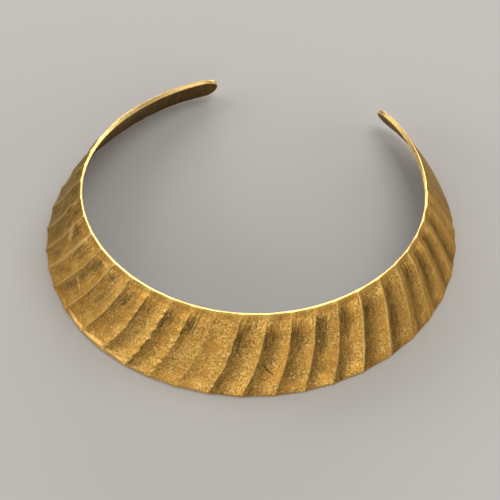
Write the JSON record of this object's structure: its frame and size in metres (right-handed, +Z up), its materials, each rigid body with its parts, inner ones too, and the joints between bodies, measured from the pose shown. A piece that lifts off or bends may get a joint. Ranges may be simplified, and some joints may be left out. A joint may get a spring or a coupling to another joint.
{
  "type": "fluted gold torc",
  "caption": "Broad gold neck torc: a flaring band with slanting flutes on its outer face, open at the back between plain rounded terminals.",
  "frame": {"origin": "on the surface the torc lies on, under the middle of its bounding box", "axes": "+Z up from the surface, -Y towards the front of the collar, +Y towards the opening between the terminals, +X towards the right-hand terminal seen from the front"},
  "size_m": [0.1576, 0.1604, 0.0317],
  "materials": {
    "aged_gold": "satin aged gold, brown tarnish in the flutes, ridges and edges rubbed bright"
  },
  "bodies": {
    "root": {"torc_band": "aged_gold"}
  },
  "joints": []
}
